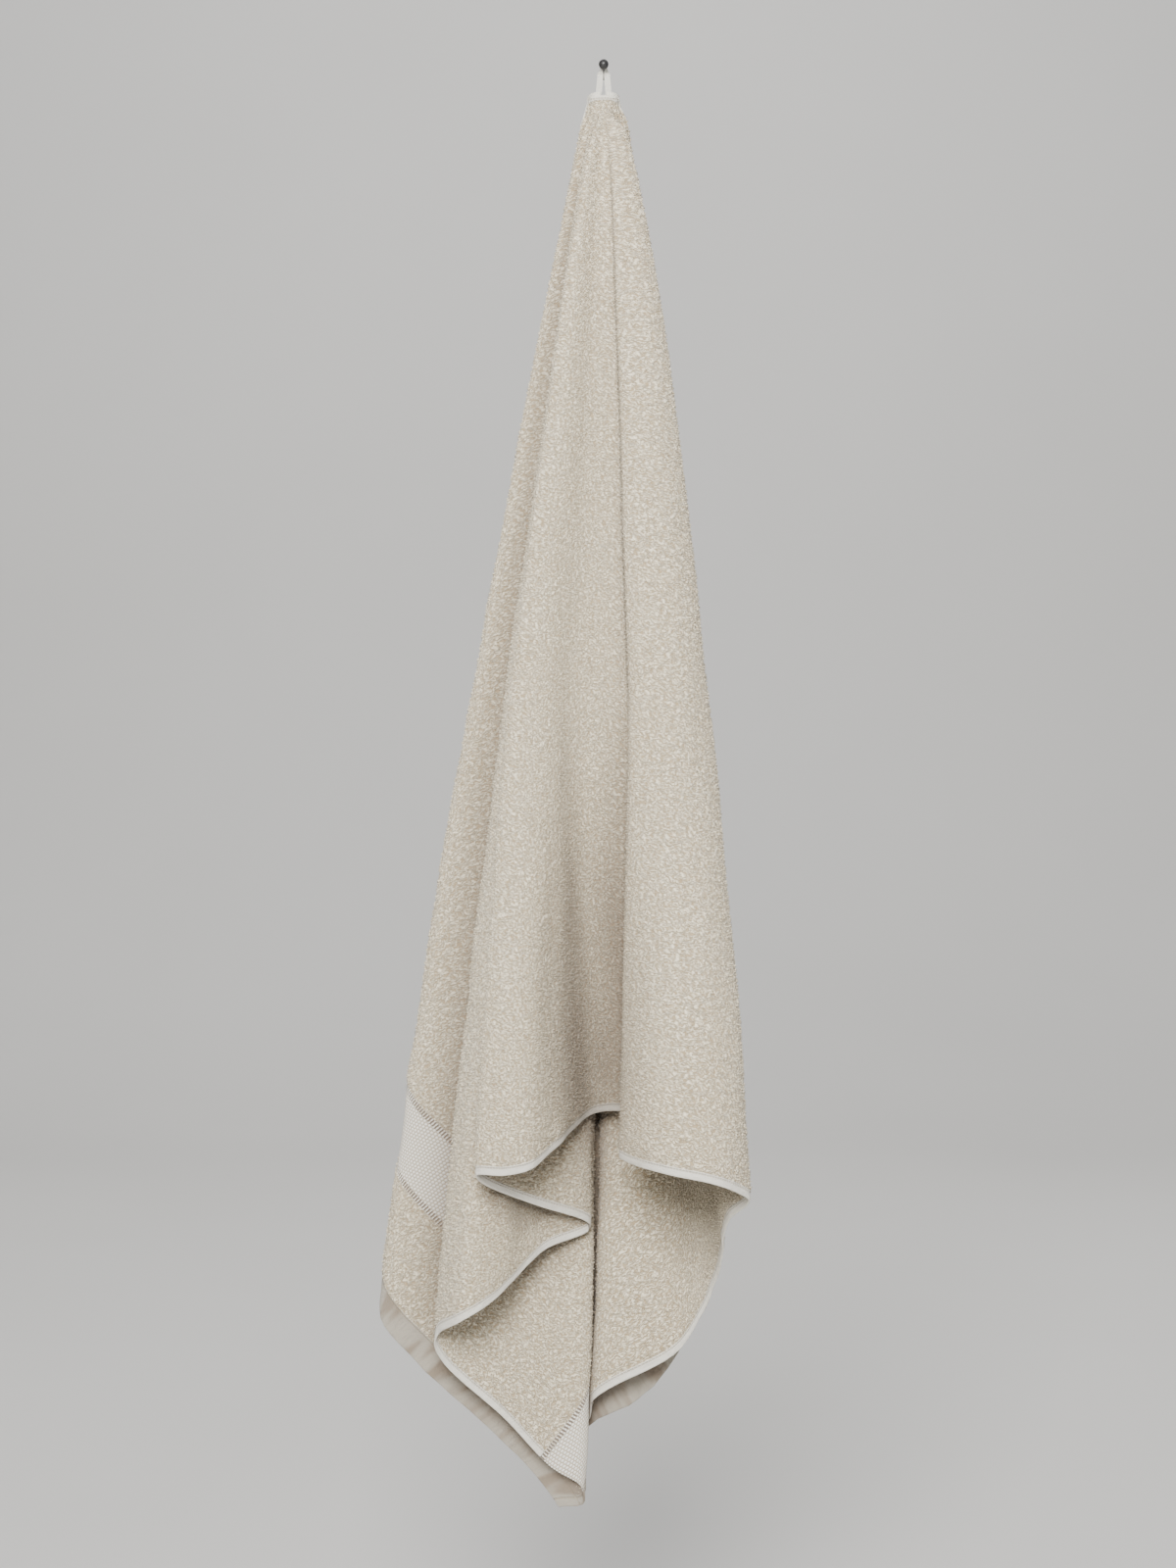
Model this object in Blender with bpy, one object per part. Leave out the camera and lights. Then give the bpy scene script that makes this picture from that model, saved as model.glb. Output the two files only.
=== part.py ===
import bpy
import math
import numpy as np

# Flat cloth
WIDTH = 1.00
HALF_LENGTH = 0.90
CORNER_ANGLE = math.degrees(math.atan2(HALF_LENGTH, WIDTH))

# Where the cloth starts below the peg
APEX_DEPTH = 0.030
APEX_Z = -0.0245

# Top of the cloth around the hanging loop
CAP_RADIUS = 0.015
CAP_BACK = 0.016
CAP_FRONT = 0.004
GATHER = 0.025
PLEAT_START = 0.033
PLEAT_RISE = 4
FIRST_ROW = 0.003

# Distances down the cloth at which the fold table holds
MID = 0.55
LOW = 1.00
END = 1.30
REACH_LIMIT = 1.36
TOP_ZONE = 0.08
DEPTH_BOW = 0.76
SIDE_BOW = 0.76
SIDE_BOW_SWING = 0.16
SIDE_BOW_ANGLE = 20.0
STEEPEST = 0.02

# Cloth thickness down the cloth
THICK_AT = (0.0, 0.03, 0.10, 0.30, 0.55, 0.80)
THICK = (0.0009, 0.0010, 0.0012, 0.0016, 0.0020, 0.0023)

# A tight turn of the cloth
TURN_ANGLE = 0.45
TURN_AT_MID = 0.75
TURN_AT_TOP = 0.08

# Grid of the solid
COLUMNS = 206
BEND_WEIGHT = 0.55
NUDGE_ANGLE = 0.02
NUDGE_SHARE = 0.002
ROWS = (0.0, 0.006, 0.013, 0.022, 0.036, 0.06, 0.10, 0.17, 0.28, 0.42, 0.60, 0.80, 1.0)

# Peg
BALL_RADIUS = 0.0047
BALL_DEPTH = 0.0352
PIN_RADIUS = 0.0020
FLANGE_RADIUS = 0.0044
FLANGE_DEPTH = 0.0016
FLANGE_RIM = 0.7
FLANGE_TOP = 0.85
PEG_SEGMENTS = 40
BALL_RINGS = 14

# Loop tape
TAPE_WIDTH = 0.0056
TAPE_THICK = 0.0009
TAPE_REST = 0.0004
TAPE_DEPTH = 0.0272
TAPE_LEG_DEPTH = 0.0275
TAPE_END_Z = -0.0300
TAPE_END_X = 0.0048
TAPE_STEPS = 64
TAPE_TWIST = 0.0100
TAPE_SPREAD = 0.8

# Colours
TERRY_COLOUR = (0.72, 0.67, 0.57)
TAPE_COLOUR = (0.78, 0.75, 0.68)
PEG_COLOUR = (0.02, 0.02, 0.022)

# Columns: name, angle on the cloth in degrees, share of the length kept, half gap of a tight
# turn, then x and distance from the wall at MID, LOW and END, all in millimetres
FOLDS = [
    ("left_free_edge",   -90.0, 1.000, 0.0,  -36,  20,  -70,  20,  -84,  20),
    ("left_hidden_a",    -87.0, 1.000, 0.0,  -66,  20, -116,  20, -140,  20),
    ("left_outer_a",     -84.0, 1.000, 2.2,  -94,  24, -157,  25, -187,  24),
    ("left_hidden_b",    -80.6, 1.000, 0.0,  -64,  27, -104,  28, -122,  27),
    ("left_inner_a",     -76.8, 1.000, 2.2,  -28,  30,  -48,  32,  -56,  31),
    ("left_hidden_c",    -73.0, 1.000, 0.0,  -64,  33, -106,  36, -124,  35),
    ("left_outer_b",     -69.0, 1.000, 2.2, -104,  37, -171,  41, -203,  40),
    ("left_hidden_d",    -64.6, 1.000, 0.0,  -66,  40, -106,  44, -126,  43),
    ("left_inner_b",     -60.6, 1.000, 2.2,  -28,  43,  -46,  48,  -54,  47),
    ("left_hidden_e",    -56.0, 1.000, 0.0,  -66,  47, -106,  52, -126,  50),
    ("left_side",          -50.6, 0.996, 3.0, -115,  55, -187,  61, -225,  58),
    ("left_wing",          -47.4, 0.991, 0.0,  -90,  63, -148,  74, -178,  68),
    ("left_wing_mid",      -44.6, 0.988, 0.0,  -52,  64,  -84,  71, -104,  66),
    ("corner",           -42.0, 0.990, 0.0,  -20,  64,  -26,  68,  -41,  66),
    ("corner_turn",        -40.8, 0.998, 2.7,   -9,  69,  -12,  79,  -20,  77),
    ("corner_low",         -38.9, 1.004, 0.0,  -23,  73,  -34,  82,  -50,  81),
    ("corner_mid",         -36.6, 1.002, 0.0,  -46,  77,  -76,  87,  -92,  87),
    ("second_edge",      -31.8, 1.000, 2.5,  -84,  88, -136, 115, -164, 114),
    ("second_crest",       -29.6, 1.000, 0.0,  -74, 101, -117, 154, -138, 158),
    ("second_front",       -27.4, 1.000, 0.0,  -60,  98,  -88, 144, -103, 148),
    ("second_mid",         -25.2, 1.000, 0.0,  -44,  94,  -72, 122,  -84, 126),
    ("second_inner",       -22.7, 1.000, 0.0,  -28,  90,  -49, 104,  -58, 107),
    ("inner_edge",       -20.2, 1.000, 2.1,  -15,  85,  -14,  94,  -16,  94),
    ("under_lobe",       -16.0, 1.000, 0.0,  -46, 100,  -66, 140,  -70, 144),
    ("lobe_edge",        -11.5, 1.000, 2.5,  -79, 115, -111, 192, -125, 202),
    ("lobe_crest",        -9.2, 1.004, 0.0,  -64, 123,  -87, 209,  -97, 221),
    ("lobe_front",          -7.2, 1.002, 0.0,  -53, 123,  -66, 203,  -73, 215),
    ("lobe_slope",          -5.0, 0.986, 0.0,  -42, 119,  -44, 169,  -46, 181),
    ("valley",              -0.6, 0.963, 0.0,  -20, 109,   -8, 106,   -4, 102),
    ("valley_right",         2.4, 0.962, 0.0,    2, 108,   28, 102,   34,  98),
    ("pleat_turn",           5.6, 0.972, 2.0,   21, 115,   72, 118,   84, 114),
    ("right_lobe_edge",    8.8, 0.987, 2.0,   22, 124,   16, 164,   14, 170),
    ("right_crest",       12.0, 0.991, 0.0,   42, 134,   50, 216,   52, 228),
    ("right_shoulder",    15.0, 0.994, 0.0,   70, 127,   98, 222,  104, 236),
    ("right_side",        17.4, 0.996, 0.0,   87, 110,  123, 196,  132, 208),
    ("right_side_wall",   20.6, 0.996, 0.0,   88,  92,  108, 150,  118, 158),
    ("right_wall",        25.4, 1.000, 0.0,   80,  80,   99, 104,  116, 106),
    ("right_panel_turn",    29.6, 1.004, 0.0,   66,  71,   82,  79,   98,  79),
    ("right_panel",         31.8, 1.006, 0.0,   50,  67,   62,  76,   76,  76),
    ("slit_edge",           35.8, 1.005, 2.2,   -1,  61,   -2,  71,  -16,  70),
    ("slit_back",           37.2, 0.996, 0.0,   -4,  57,   -6,  60,  -20,  59),
    ("behind_a",          38.8, 0.985, 2.0,  -26,  55,  -46,  57,  -58,  56),
    ("end_corner",        42.0, 0.960, 0.0,  -18,  51,  -26,  52,  -36,  51),
    ("end_hem_start",     44.4, 0.975, 0.0,    2,  48,   -2,  49,   -8,  48),
    ("end_hem_mid",         46.4, 0.995, 0.0,   25,  47,   26,  48,   34,  49),
    ("end_hem_turn",        49.8, 1.000, 2.2,   49,  44,   66,  44,   76,  43),
    ("right_hidden_a",    52.4, 1.000, 0.0,   28,  41,   30,  40,   34,  38),
    ("right_inner_a",     55.2, 1.000, 2.2,   -4,  38,  -10,  37,  -14,  35),
    ("right_hidden_b",    58.8, 1.000, 0.0,   34,  35,   48,  33,   54,  31),
    ("right_outer_a",       62.4, 1.000, 2.2,   60,  32,   98,  30,  112,  28),
    ("right_hidden_c",    66.0, 1.000, 0.0,   34,  29,   46,  26,   52,  24),
    ("right_inner_b",     69.6, 1.000, 2.2,   -4,  26,  -10,  23,  -14,  21),
    ("right_hidden_d",    73.0, 1.000, 0.0,   34,  22,   48,  19,   54,  17),
    ("right_outer_b",       76.6, 1.000, 2.2,   58,  18,   98,  14,  112,  12),
    ("cover_a",           80.0, 1.000, 0.0,   34,  14,   52,   9,   64,   7),
    ("cover_b",           85.0, 1.000, 0.0,  -18,  13,  -34,   8,  -40,   7),
    ("right_free_edge",   90.0, 1.000, 0.0,  -68,  13, -118,   8, -138,   7),
]

def fold_rows():
    """Rows of the fold table, each tight turn opened into two."""
    rows = []
    for i, fold in enumerate(FOLDS):
        angle, kept, gap = fold[1:4]
        places = list(fold[4:])
        if not gap:
            rows.append([angle, kept, 0.0] + places)
            continue
        outward = math.copysign(gap, FOLDS[i + 1][7] - FOLDS[i - 1][7])
        for side in (-1, 1):
            step = side * outward
            near_x, near_d, low_x, low_d, end_x, end_d = places
            rows.append([angle + side * TURN_ANGLE, kept, step * TURN_AT_TOP,
                         near_x, near_d + step * TURN_AT_MID,
                         low_x, low_d + step, end_x, end_d + step])
    return np.array(rows, float)


def blend_weights(knots, angles):
    """Weights that turn values at the folds into smooth values at the given angles."""
    count = len(knots)
    gaps = np.diff(knots)
    secant = np.zeros((count - 1, count))
    for i in range(count - 1):
        secant[i, i] = -1 / gaps[i]
        secant[i, i + 1] = 1 / gaps[i]
    slope = np.zeros((count, count))
    slope[0] = secant[0]
    slope[-1] = secant[-1]
    for i in range(1, count - 1):
        slope[i] = (secant[i - 1] * gaps[i] + secant[i] * gaps[i - 1]) / (gaps[i - 1] + gaps[i])
    i = np.clip(np.searchsorted(knots, angles, side="right") - 1, 0, count - 2)
    t = ((angles - knots[i]) / gaps[i])[:, None]
    span = gaps[i][:, None]
    same = np.eye(count)
    return hermite(t, same[i], span * slope[i], same[i + 1], span * slope[i + 1])


def hermite(t, start, start_slope, stop, stop_slope):
    """Cubic between two values with given slopes."""
    return ((2 * t**3 - 3 * t**2 + 1) * start + (t**3 - 2 * t**2 + t) * start_slope
            + (3 * t**2 - 2 * t**3) * stop + (t**3 - t**2) * stop_slope)


def reach(angles):
    """Distance from the loop to the edge of the flat cloth along each angle."""
    turn = np.radians(np.abs(angles))
    far_side = WIDTH / np.maximum(np.cos(turn), 1e-9)
    short_end = HALF_LENGTH / np.maximum(np.sin(turn), 1e-9)
    return np.minimum(far_side, short_end)


def gathered(distance):
    """How far the folds have opened at a distance from the loop."""
    return distance**3 / (distance**2 + GATHER**2)


def thickness(distance):
    return np.interp(distance, THICK_AT, THICK)


class HungCloth:
    """Cloth hung from one point: each angle on the flat cloth runs down as one line."""

    def __init__(self, angles):
        self.angles = np.asarray(angles, float)
        rows = fold_rows()
        weights = blend_weights(rows[:, 0], self.angles)
        self.kept = weights @ rows[:, 1]
        self.turn_top = weights @ rows[:, 2] / 1000
        self.mid = weights @ rows[:, 3:5] / 1000
        self.low = weights @ rows[:, 5:7] / 1000
        self.end = weights @ rows[:, 7:9] / 1000
        near = np.linspace(0, TOP_ZONE, 81)
        far = np.linspace(TOP_ZONE, REACH_LIMIT, 257)[1:]
        self.down = np.concatenate([near, far])
        self.points = self.drop_lines(self.plan_lines())

    def top_lines(self):
        """Lines that leave the loop sideways and bend down, without any folds."""
        turn = np.radians(self.angles)
        hold = np.exp(-(self.down / CAP_RADIUS) ** 4)[:, None]
        heading = np.sin(turn[None, :] * hold)
        steps = np.diff(self.down)[:, None]
        side = np.zeros_like(heading)
        side[1:] = np.cumsum(0.5 * (heading[1:] + heading[:-1]) * steps, axis=0)
        back = CAP_FRONT - (CAP_BACK + CAP_FRONT) * (1 - np.cos(turn)) + self.turn_top
        depth = APEX_DEPTH + (1 - hold) * back[None, :]
        return np.stack([side, depth], axis=2)

    def plan_lines(self):
        """Sideways place and distance from the wall of each line, all the way down."""
        plan = self.top_lines()
        top = plan[-1].copy()
        bow = np.stack([SIDE_BOW - SIDE_BOW_SWING * np.tanh(self.angles / SIDE_BOW_ANGLE),
                        np.full(len(self.angles), DEPTH_BOW)], axis=1)
        open_mid = gathered(MID)
        near = self.down <= MID
        free = 1 - np.exp(-(self.down[near] / PLEAT_START) ** PLEAT_RISE)
        opened = (gathered(self.down[near]) / open_mid)[:, None, None] ** bow[None]
        plan[near] += (self.mid - top)[None] * opened * free[:, None, None]
        step = 1e-4
        rate = bow * (gathered(MID + step) - open_mid) / step / open_mid
        first = (self.low - self.mid) / (LOW - MID)
        second = (self.end - self.low) / (END - LOW)
        slope_mid = (self.mid - top) * rate
        slope_low = (first * (END - LOW) + second * (LOW - MID)) / (END - MID)
        slope_end = 2 * second - slope_low
        parts = ((MID, self.mid, slope_mid, LOW, self.low, slope_low),
                 (LOW, self.low, slope_low, END, self.end, slope_end))
        for start, place, slope, stop, next_place, next_slope in parts:
            inside = (self.down > start) & (self.down <= stop)
            length = stop - start
            t = ((self.down[inside] - start) / length)[:, None, None]
            plan[inside] = hermite(t, place, length * slope, next_place, length * next_slope)
        beyond = self.down > END
        plan[beyond] = self.end + slope_end * (self.down[beyond] - END)[:, None, None]
        return plan

    def drop_lines(self, plan):
        """Heights that keep each line as long as the cloth it is made of."""
        steps = np.diff(self.down)[:, None]
        run = np.sum(np.diff(plan, axis=0) ** 2, axis=2)
        fall = np.sqrt(np.maximum(steps**2 - run, (STEEPEST * steps) ** 2))
        height = np.full(plan.shape[:2], APEX_Z)
        height[1:] -= np.cumsum(fall, axis=0)
        return np.stack([plan[:, :, 0], -plan[:, :, 1], height], axis=2)

    def at(self, share):
        """Points at shares of the way from the loop to the edge, rows by columns."""
        distance = share[:, None] * (reach(self.angles) * self.kept)[None, :]
        i = np.clip(np.searchsorted(self.down, distance) - 1, 0, len(self.down) - 2)
        t = (distance - self.down[i]) / (self.down[i + 1] - self.down[i])
        j = np.arange(len(self.angles))[None, :]
        return self.points[i, j] * (1 - t)[..., None] + self.points[i + 1, j] * t[..., None]


def column_angles():
    """Angles of the grid columns, closer together where the cloth bends."""
    fine = np.linspace(-90, 90, 7201)
    low = HungCloth(fine).low
    step = np.diff(low, axis=0)
    heading = np.unwrap(np.arctan2(step[:, 1], step[:, 0]))
    bend = np.abs(np.diff(heading, prepend=heading[0]))
    length = np.linalg.norm(step, axis=1)
    load = length / length.sum() + BEND_WEIGHT * bend / bend.sum()
    run = np.concatenate([[0.0], np.cumsum(load)])
    angles = np.interp(np.linspace(0, run[-1], COLUMNS), run, fine)
    for corner in (-CORNER_ANGLE, CORNER_ANGLE):
        angles[np.argmin(np.abs(angles - corner))] = corner
    return angles


def sheet_sides(angles, share):
    """Front and back faces of the cloth."""
    centre = HungCloth(angles).at(share)
    before = HungCloth(np.clip(angles - NUDGE_ANGLE, -90, 90)).at(share)
    after = HungCloth(np.clip(angles + NUDGE_ANGLE, -90, 90)).at(share)
    lower = HungCloth(angles).at(np.minimum(share + NUDGE_SHARE, 1.0))
    upper = HungCloth(angles).at(np.maximum(share - NUDGE_SHARE, 0.0))
    normal = np.cross(after - before, lower - upper)
    normal /= np.linalg.norm(normal, axis=2, keepdims=True)
    half = thickness(share[:, None] * reach(angles)[None, :])[..., None] / 2
    return centre + half * normal, centre - half * normal


def build_mesh(name, points, faces, material):
    mesh = bpy.data.meshes.new(name)
    mesh.from_pydata([tuple(p) for p in points], [], faces)
    mesh.update()
    for polygon in mesh.polygons:
        polygon.use_smooth = True
    thing = bpy.data.objects.new(name, mesh)
    thing.data.materials.append(material)
    bpy.context.scene.collection.objects.link(thing)
    return thing


def make_material(name, colour, roughness, metallic=0.0):
    material = bpy.data.materials.new(name)
    material.use_nodes = True
    shader = material.node_tree.nodes["Principled BSDF"]
    shader.inputs["Base Color"].default_value = (*colour, 1.0)
    shader.inputs["Roughness"].default_value = roughness
    shader.inputs["Metallic"].default_value = metallic
    return material


def build_towel():
    """Bath sheet: a closed shell of two faces and the four cloth edges."""
    share = FIRST_ROW + (1 - FIRST_ROW) * np.array(ROWS)
    angles = column_angles()
    front, back = sheet_sides(angles, share)
    rows, columns = front.shape[:2]
    points = np.concatenate([front.reshape(-1, 3), back.reshape(-1, 3)])
    count = rows * columns
    faces = []
    for r in range(rows - 1):
        for c in range(columns - 1):
            a = r * columns + c
            quad = (a, a + 1, a + columns + 1, a + columns)
            faces.append(quad)
            faces.append(tuple(v + count for v in quad[::-1]))
    rim = [(0, c) for c in range(columns)]
    rim += [(r, columns - 1) for r in range(1, rows)]
    rim += [(rows - 1, c) for c in range(columns - 2, -1, -1)]
    rim += [(r, 0) for r in range(rows - 2, 0, -1)]
    index = [r * columns + c for r, c in rim]
    for a, b in zip(index, index[1:] + index[:1]):
        faces.append((b, a, a + count, b + count))
    return build_mesh("towel", points, faces, make_material("terry", TERRY_COLOUR, 0.95))


def build_peg():
    """Round-headed pin with a small flat flange at the wall, turned about its own axis."""
    joint = BALL_DEPTH - math.sqrt(BALL_RADIUS**2 - PIN_RADIUS**2)
    profile = [(FLANGE_RADIUS, 0.0), (FLANGE_RADIUS, FLANGE_DEPTH * FLANGE_RIM),
               (FLANGE_RADIUS * FLANGE_TOP, FLANGE_DEPTH), (PIN_RADIUS, FLANGE_DEPTH), (PIN_RADIUS, joint)]
    start = math.asin(PIN_RADIUS / BALL_RADIUS)
    for i in range(1, BALL_RINGS):
        turn = start + (math.pi - start) * i / BALL_RINGS
        profile.append((BALL_RADIUS * math.sin(turn), BALL_DEPTH - BALL_RADIUS * math.cos(turn)))
    points = [(0.0, 0.0, 0.0)]
    for radius, depth in profile:
        for s in range(PEG_SEGMENTS):
            around = 2 * math.pi * s / PEG_SEGMENTS
            points.append((radius * math.cos(around), -depth, radius * math.sin(around)))
    points.append((0.0, -(BALL_DEPTH + BALL_RADIUS), 0.0))
    last = len(points) - 1
    faces = []
    for s in range(PEG_SEGMENTS):
        n = (s + 1) % PEG_SEGMENTS
        faces.append((0, 1 + n, 1 + s))
        for ring in range(len(profile) - 1):
            a = 1 + ring * PEG_SEGMENTS
            b = a + PEG_SEGMENTS
            faces.append((a + s, a + n, b + n, b + s))
        tail = 1 + (len(profile) - 1) * PEG_SEGMENTS
        faces.append((tail + s, tail + n, last))
    return build_mesh("peg", points, faces, make_material("black_metal", PEG_COLOUR, 0.35, 0.6))


def tape_path():
    """Centre line of the tape from the left end, over the pin, to the right end."""
    rest = PIN_RADIUS + TAPE_REST + TAPE_THICK / 2
    points = []
    leg_steps = TAPE_STEPS // 3
    for i in range(leg_steps):
        t = i / leg_steps
        ease = t * t * (3 - 2 * t)
        points.append((-TAPE_END_X + (TAPE_END_X - rest) * ease ** TAPE_SPREAD,
                       TAPE_END_Z * (1 - t)))
    for i in range(TAPE_STEPS - 2 * leg_steps + 1):
        turn = math.pi * (1 - i / (TAPE_STEPS - 2 * leg_steps))
        points.append((rest * math.cos(turn), rest * math.sin(turn)))
    points += [(-x, z) for x, z in points[leg_steps - 1::-1]]
    return points


def build_loop():
    """Hanging loop: a flat tape over the pin, twisted flat where it meets the cloth."""
    path = tape_path()
    half = TAPE_WIDTH / 2
    points = []
    for i, (x, z) in enumerate(path):
        before = path[max(i - 1, 0)]
        after = path[min(i + 1, len(path) - 1)]
        along = np.array([after[0] - before[0], 0.0, after[1] - before[1]])
        along /= np.linalg.norm(along)
        below = min(max(-z / TAPE_TWIST, 0.0), 1.0)
        flat = below * below * (3 - 2 * below) * math.pi / 2
        depth = TAPE_DEPTH + (TAPE_LEG_DEPTH - TAPE_DEPTH) * math.sin(flat)
        across = np.array([0.0, -1.0, 0.0])
        normal = np.cross(along, across)
        wide = math.cos(flat) * across + math.sin(flat) * normal
        thick = np.cross(along, wide)
        centre = np.array([x, -depth, z])
        for u, v in ((-1, -1), (1, -1), (1, 1), (-1, 1)):
            points.append(centre + u * half * wide + v * TAPE_THICK / 2 * thick)
    faces = [(3, 2, 1, 0)]
    for i in range(len(path) - 1):
        a = 4 * i
        for k in range(4):
            n = (k + 1) % 4
            faces.append((a + k, a + n, a + 4 + n, a + 4 + k))
    end = 4 * (len(path) - 1)
    faces.append((end, end + 1, end + 2, end + 3))
    return build_mesh("loop", points, faces, make_material("tape", TAPE_COLOUR, 0.85))


def main():
    for thing in list(bpy.data.objects):
        bpy.data.objects.remove(thing)
    build_peg()
    build_loop()
    build_towel()


main()
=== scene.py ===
import math

import bpy
import numpy as np
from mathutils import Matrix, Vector
from mathutils.bvhtree import BVHTree


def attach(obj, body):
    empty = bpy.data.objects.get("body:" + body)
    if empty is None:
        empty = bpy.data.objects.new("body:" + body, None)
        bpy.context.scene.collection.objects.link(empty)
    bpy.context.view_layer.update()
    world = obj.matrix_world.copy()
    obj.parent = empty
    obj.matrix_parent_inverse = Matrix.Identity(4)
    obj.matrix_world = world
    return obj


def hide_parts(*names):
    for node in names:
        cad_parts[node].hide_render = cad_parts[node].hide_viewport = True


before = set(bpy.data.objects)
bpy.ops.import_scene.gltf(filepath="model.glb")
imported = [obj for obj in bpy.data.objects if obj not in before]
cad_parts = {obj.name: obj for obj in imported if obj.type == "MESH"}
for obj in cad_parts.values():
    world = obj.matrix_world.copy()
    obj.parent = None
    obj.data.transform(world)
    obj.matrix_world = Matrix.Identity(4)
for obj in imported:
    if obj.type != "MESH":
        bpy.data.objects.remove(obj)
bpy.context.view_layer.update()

# Camera, fitted to the photo: its place, and its focal length in pixels of a 1200 by 1600 frame
CAMERA_PLACE = (-0.0148, -2.2, -0.6788)
FOCAL_PIXELS = 2342
FRAME_HEIGHT = 1600
SENSOR = 36
FARTHEST = 50

# Flat cloth in metres, measured from the loop: along the long side and down across it. Hems
# and bands are measured from the ends and sides. The left band moves by BAND_SHIFT.
WIDTH = 1.00
HALF_LENGTH = 0.90
CORNER_ANGLE = math.degrees(math.atan2(HALF_LENGTH, WIDTH))
END_HEM = 0.0235
SIDE_HEM = 0.0078
BAND_OUTER = 0.1005
BAND_INNER = 0.164
BAND_SHIFT = -0.056
BAND_SHIFT_FROM = 0.76
BAND_SHIFT_TO = 0.90
LADDER = 0.0056

# Smooth end cloth in the far left corner, in the end hems' colour with its painted shade: how
# far across it starts, and its depth from the end
CORNER_ACROSS = 0.87
CORNER_PLAIN = 0.076

# Layer of flat coordinates that holds the places on the flat cloth
CLOTH_MAP = "Cloth"

# Where the cloth starts below the peg, and the top of the cloth around the loop
APEX_DEPTH = 0.030
APEX_Z = -0.0245
CAP_RADIUS = 0.015
CAP_BACK = 0.016
CAP_FRONT = 0.004
CAP_SHARPNESS = 4
GATHER = 0.025
PLEAT_START = 0.033
PLEAT_RISE = 4
FIRST_ROW = 0.003

# Distances down the cloth at which the fold table holds
MID = 0.55
LOW = 1.00
END = 1.30
REACH_LIMIT = 1.36
TOP_ZONE = 0.08
DEPTH_BOW = 0.76
SIDE_BOW = 0.76
SIDE_BOW_SWING = 0.16
SIDE_BOW_ANGLE = 20.0
STEEPEST = 0.02
TOP_SAMPLES = 81
LOWER_SAMPLES = 257
RATE_STEP = 1e-4

# Cloth thickness down the cloth, and the pile that the terry adds on each face
THICK_AT = (0.0, 0.03, 0.10, 0.30, 0.55, 0.80)
THICK = (0.0009, 0.0010, 0.0012, 0.0016, 0.0020, 0.0023)
PILE_AT = (0.0, 0.10, 0.55, 1.00)
PILE = (0.0000, 0.0001, 0.0003, 0.0007)

# Share of the thickness that is left on the edge rows and columns
LAST_ROW_SHARE = 0.45
NEXT_ROW_SHARE = 0.85
SIDE_EDGE_SHARE = 0.5

# Small closed nubs that stand for the loops of the pile where the cloth shows
NUB_PIECES = 4
NUBS_EACH = 49000
NUB_LENGTH = 0.0027
NUB_WIDTH = 0.0010
NUB_HEIGHT = 0.0014
NUB_SINK = 0.0003
NUB_LEAN = 0.0007
NUB_SWING = 0.5
NUB_SIZES = (0.7, 1.25)
NUB_TAIL = 0.5
NUB_FRONT = 0.3
NUB_SEED = 21

# How open each place of the cloth lies, from rays that spread from it; the materials paint
# shade into the cloth's colour where it lies closed
FOLD_MAP = "Fold"
OPEN_RAYS = 16
OPEN_LENGTH = 0.12
OPEN_LIFT = 0.0015
OPEN_LEAST = 0.06
GOLDEN_ANGLE = 2.39996
OFF_AXIS = (0.31, 0.55, 0.77)

# Unevenness of the hung cloth: size of one swing across and down, and its height
FLUTE_SIZE = (0.030, 0.30)
FLUTE_HEIGHT = 0.0011
FLUTE_SEED = 3
SWELL_SIZE = (0.060, 0.11)
SWELL_HEIGHT = 0.0010
SWELL_SEED = 8
UNEVEN_FROM = 0.4
NOISE_TABLE = 64
NOISE_SHIFT = 900.0

# Puckers of the hems
RIPPLE_LENGTH = 0.016
RIPPLE_DEPTH = 0.05
RIPPLE_LEFT = 0.0026
RIPPLE_RIGHT = 0.0060
RIPPLE_FADE = (0.010, 0.050)
RIPPLE_SEED = 5
SIDE_RIPPLE_LENGTH = 0.021
RIPPLE_SIDE = 0.0012
SIDE_RIPPLE_FADE = (0.008, 0.030)
SIDE_RIPPLE_SEED = 12

# A tight turn of the cloth
TURN_ANGLE = 0.45
TURN_AT_MID = 0.75
TURN_AT_TOP = 0.08

# Grid of the fine sheet
COLUMNS = 440
EVEN_ROWS = 92
TOP_CROWDING = 1.5
BEND_WEIGHT = 0.45
SEEN_ANGLE = 53
SEEN_WEIGHT = 2.2
STEP_SHARE = 0.0009
RIM_STEPS = 2.5
FINE_ANGLES = 9001

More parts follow.
